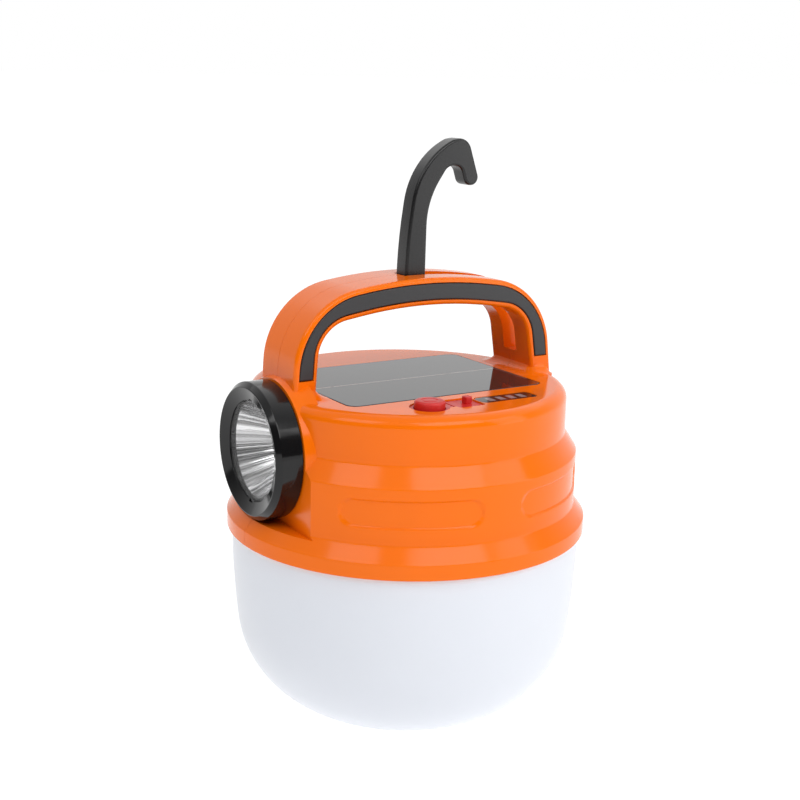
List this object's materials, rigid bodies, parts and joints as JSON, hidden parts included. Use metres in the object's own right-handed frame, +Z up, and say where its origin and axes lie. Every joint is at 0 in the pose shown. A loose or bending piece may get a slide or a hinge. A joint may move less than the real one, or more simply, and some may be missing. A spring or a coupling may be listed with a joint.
{
  "type": "rechargeable hanging lantern",
  "caption": "Handheld rechargeable lantern: domed opal lamp, side torch, solar lid, carry handle with rubber grips and a hook that folds into it.",
  "frame": {"origin": "under the middle of the dome's small flat, on the surface that the lantern stands on", "axes": "+Z up through the dome, housing and handle; -X the way that the torch faces; -Y the side of the deck with the button, the charging port and the indicator"},
  "size_m": [0.13, 0.13, 0.2076],
  "materials": {
    "housing_orange": "moulded, glossy, semi-bright orange",
    "dome_opal": "opal white, satin, lets light through without showing the lamps",
    "grip_rubber": "satin dark grey, moulded flush",
    "hook_black": "satin near-black with rounded edges",
    "bezel_black": "polished black",
    "lens_clear": "clear moulded lens, polished",
    "reflector_chrome": "vacuum-plated mirror",
    "control_red": "satin red silicone",
    "panel_cell": "dark solar cell under a clear gloss coat",
    "window_smoke": "smoked black, polished",
    "guide_clear": "clear light guide, frosted tips",
    "board_green": "solder-masked circuit board",
    "board_white": "white solder mask on an aluminium board",
    "fastener_steel": "zinc-plated steel",
    "heatsink_aluminium": "pressed aluminium",
    "cell_wrap": "blue shrink wrap over a steel can",
    "inner_black": "plain black moulding",
    "gasket_grey": "soft light grey seal",
    "gasket_black": "soft black seal",
    "adhesive_pad": "foam adhesive sheet",
    "plate_white": "plain white moulding that reflects the lamp's light",
    "lead_red": "red lead insulation",
    "lead_grey": "pale grey lead insulation",
    "lead_black": "black lead insulation"
  },
  "bodies": {
    "housing": {"shell_front": "housing_orange", "shell_rear": "housing_orange", "diffuser_dome": "dome_opal", "dome_gasket": "gasket_grey", "base_plate": "plate_white", "grip_front": "grip_rubber", "grip_rear": "grip_rubber", "hook_pin": "fastener_steel", "torch_bezel": "bezel_black", "torch_gasket": "gasket_black", "torch_lens": "lens_clear", "torch_reflector": "reflector_chrome", "torch_led_board": "board_white", "torch_heatsink": "heatsink_aluminium", "solar_panel": "panel_cell", "solar_adhesive": "adhesive_pad", "silicone_pad": "control_red", "indicator_window": "window_smoke", "light_guide": "guide_clear", "indicator_leds": "board_white", "control_board": "board_green", "tact_switch": "inner_black", "usb_socket": "fastener_steel", "lamp_led_board": "board_white", "battery_cell_a": "cell_wrap", "battery_cell_b": "cell_wrap", "battery_holder": "inner_black", "battery_strip_front": "fastener_steel", "battery_strip_rear": "fastener_steel", "lead_battery": "lead_red", "lead_torch": "lead_grey", "lead_lamp": "lead_red", "lead_solar": "lead_black", "base_screw_1": "fastener_steel", "base_screw_2": "fastener_steel", "base_screw_3": "fastener_steel", "base_screw_4": "fastener_steel", "case_screw_1": "fastener_steel", "case_screw_2": "fastener_steel", "pillar_screw_1": "fastener_steel", "pillar_screw_2": "fastener_steel", "lamp_screw_1": "fastener_steel", "lamp_screw_2": "fastener_steel"},
    "hook": {"hook": "hook_black"},
    "button": {"button_cap": "control_red", "tact_plunger": "inner_black"},
    "port_cover": {"port_cover": "control_red"}
  },
  "joints": [
    {"name": "hook_fold", "type": "hinge", "parent": "housing", "child": "hook", "pos_m": [0, 0, 0.1564], "axis": [0, 1, 0], "range_deg": [0, 90]},
    {"name": "button_press", "type": "slide", "parent": "housing", "child": "button", "axis": [0, 0, -1], "range_m": [0, 0.0008], "stiffness_N_per_m": 1500},
    {"name": "port_cover_hinge", "type": "hinge", "parent": "housing", "child": "port_cover", "pos_m": [-0.00707, -0.0388, 0.1224], "axis": [0, -1, 0], "range_deg": [0, 100]}
  ]
}
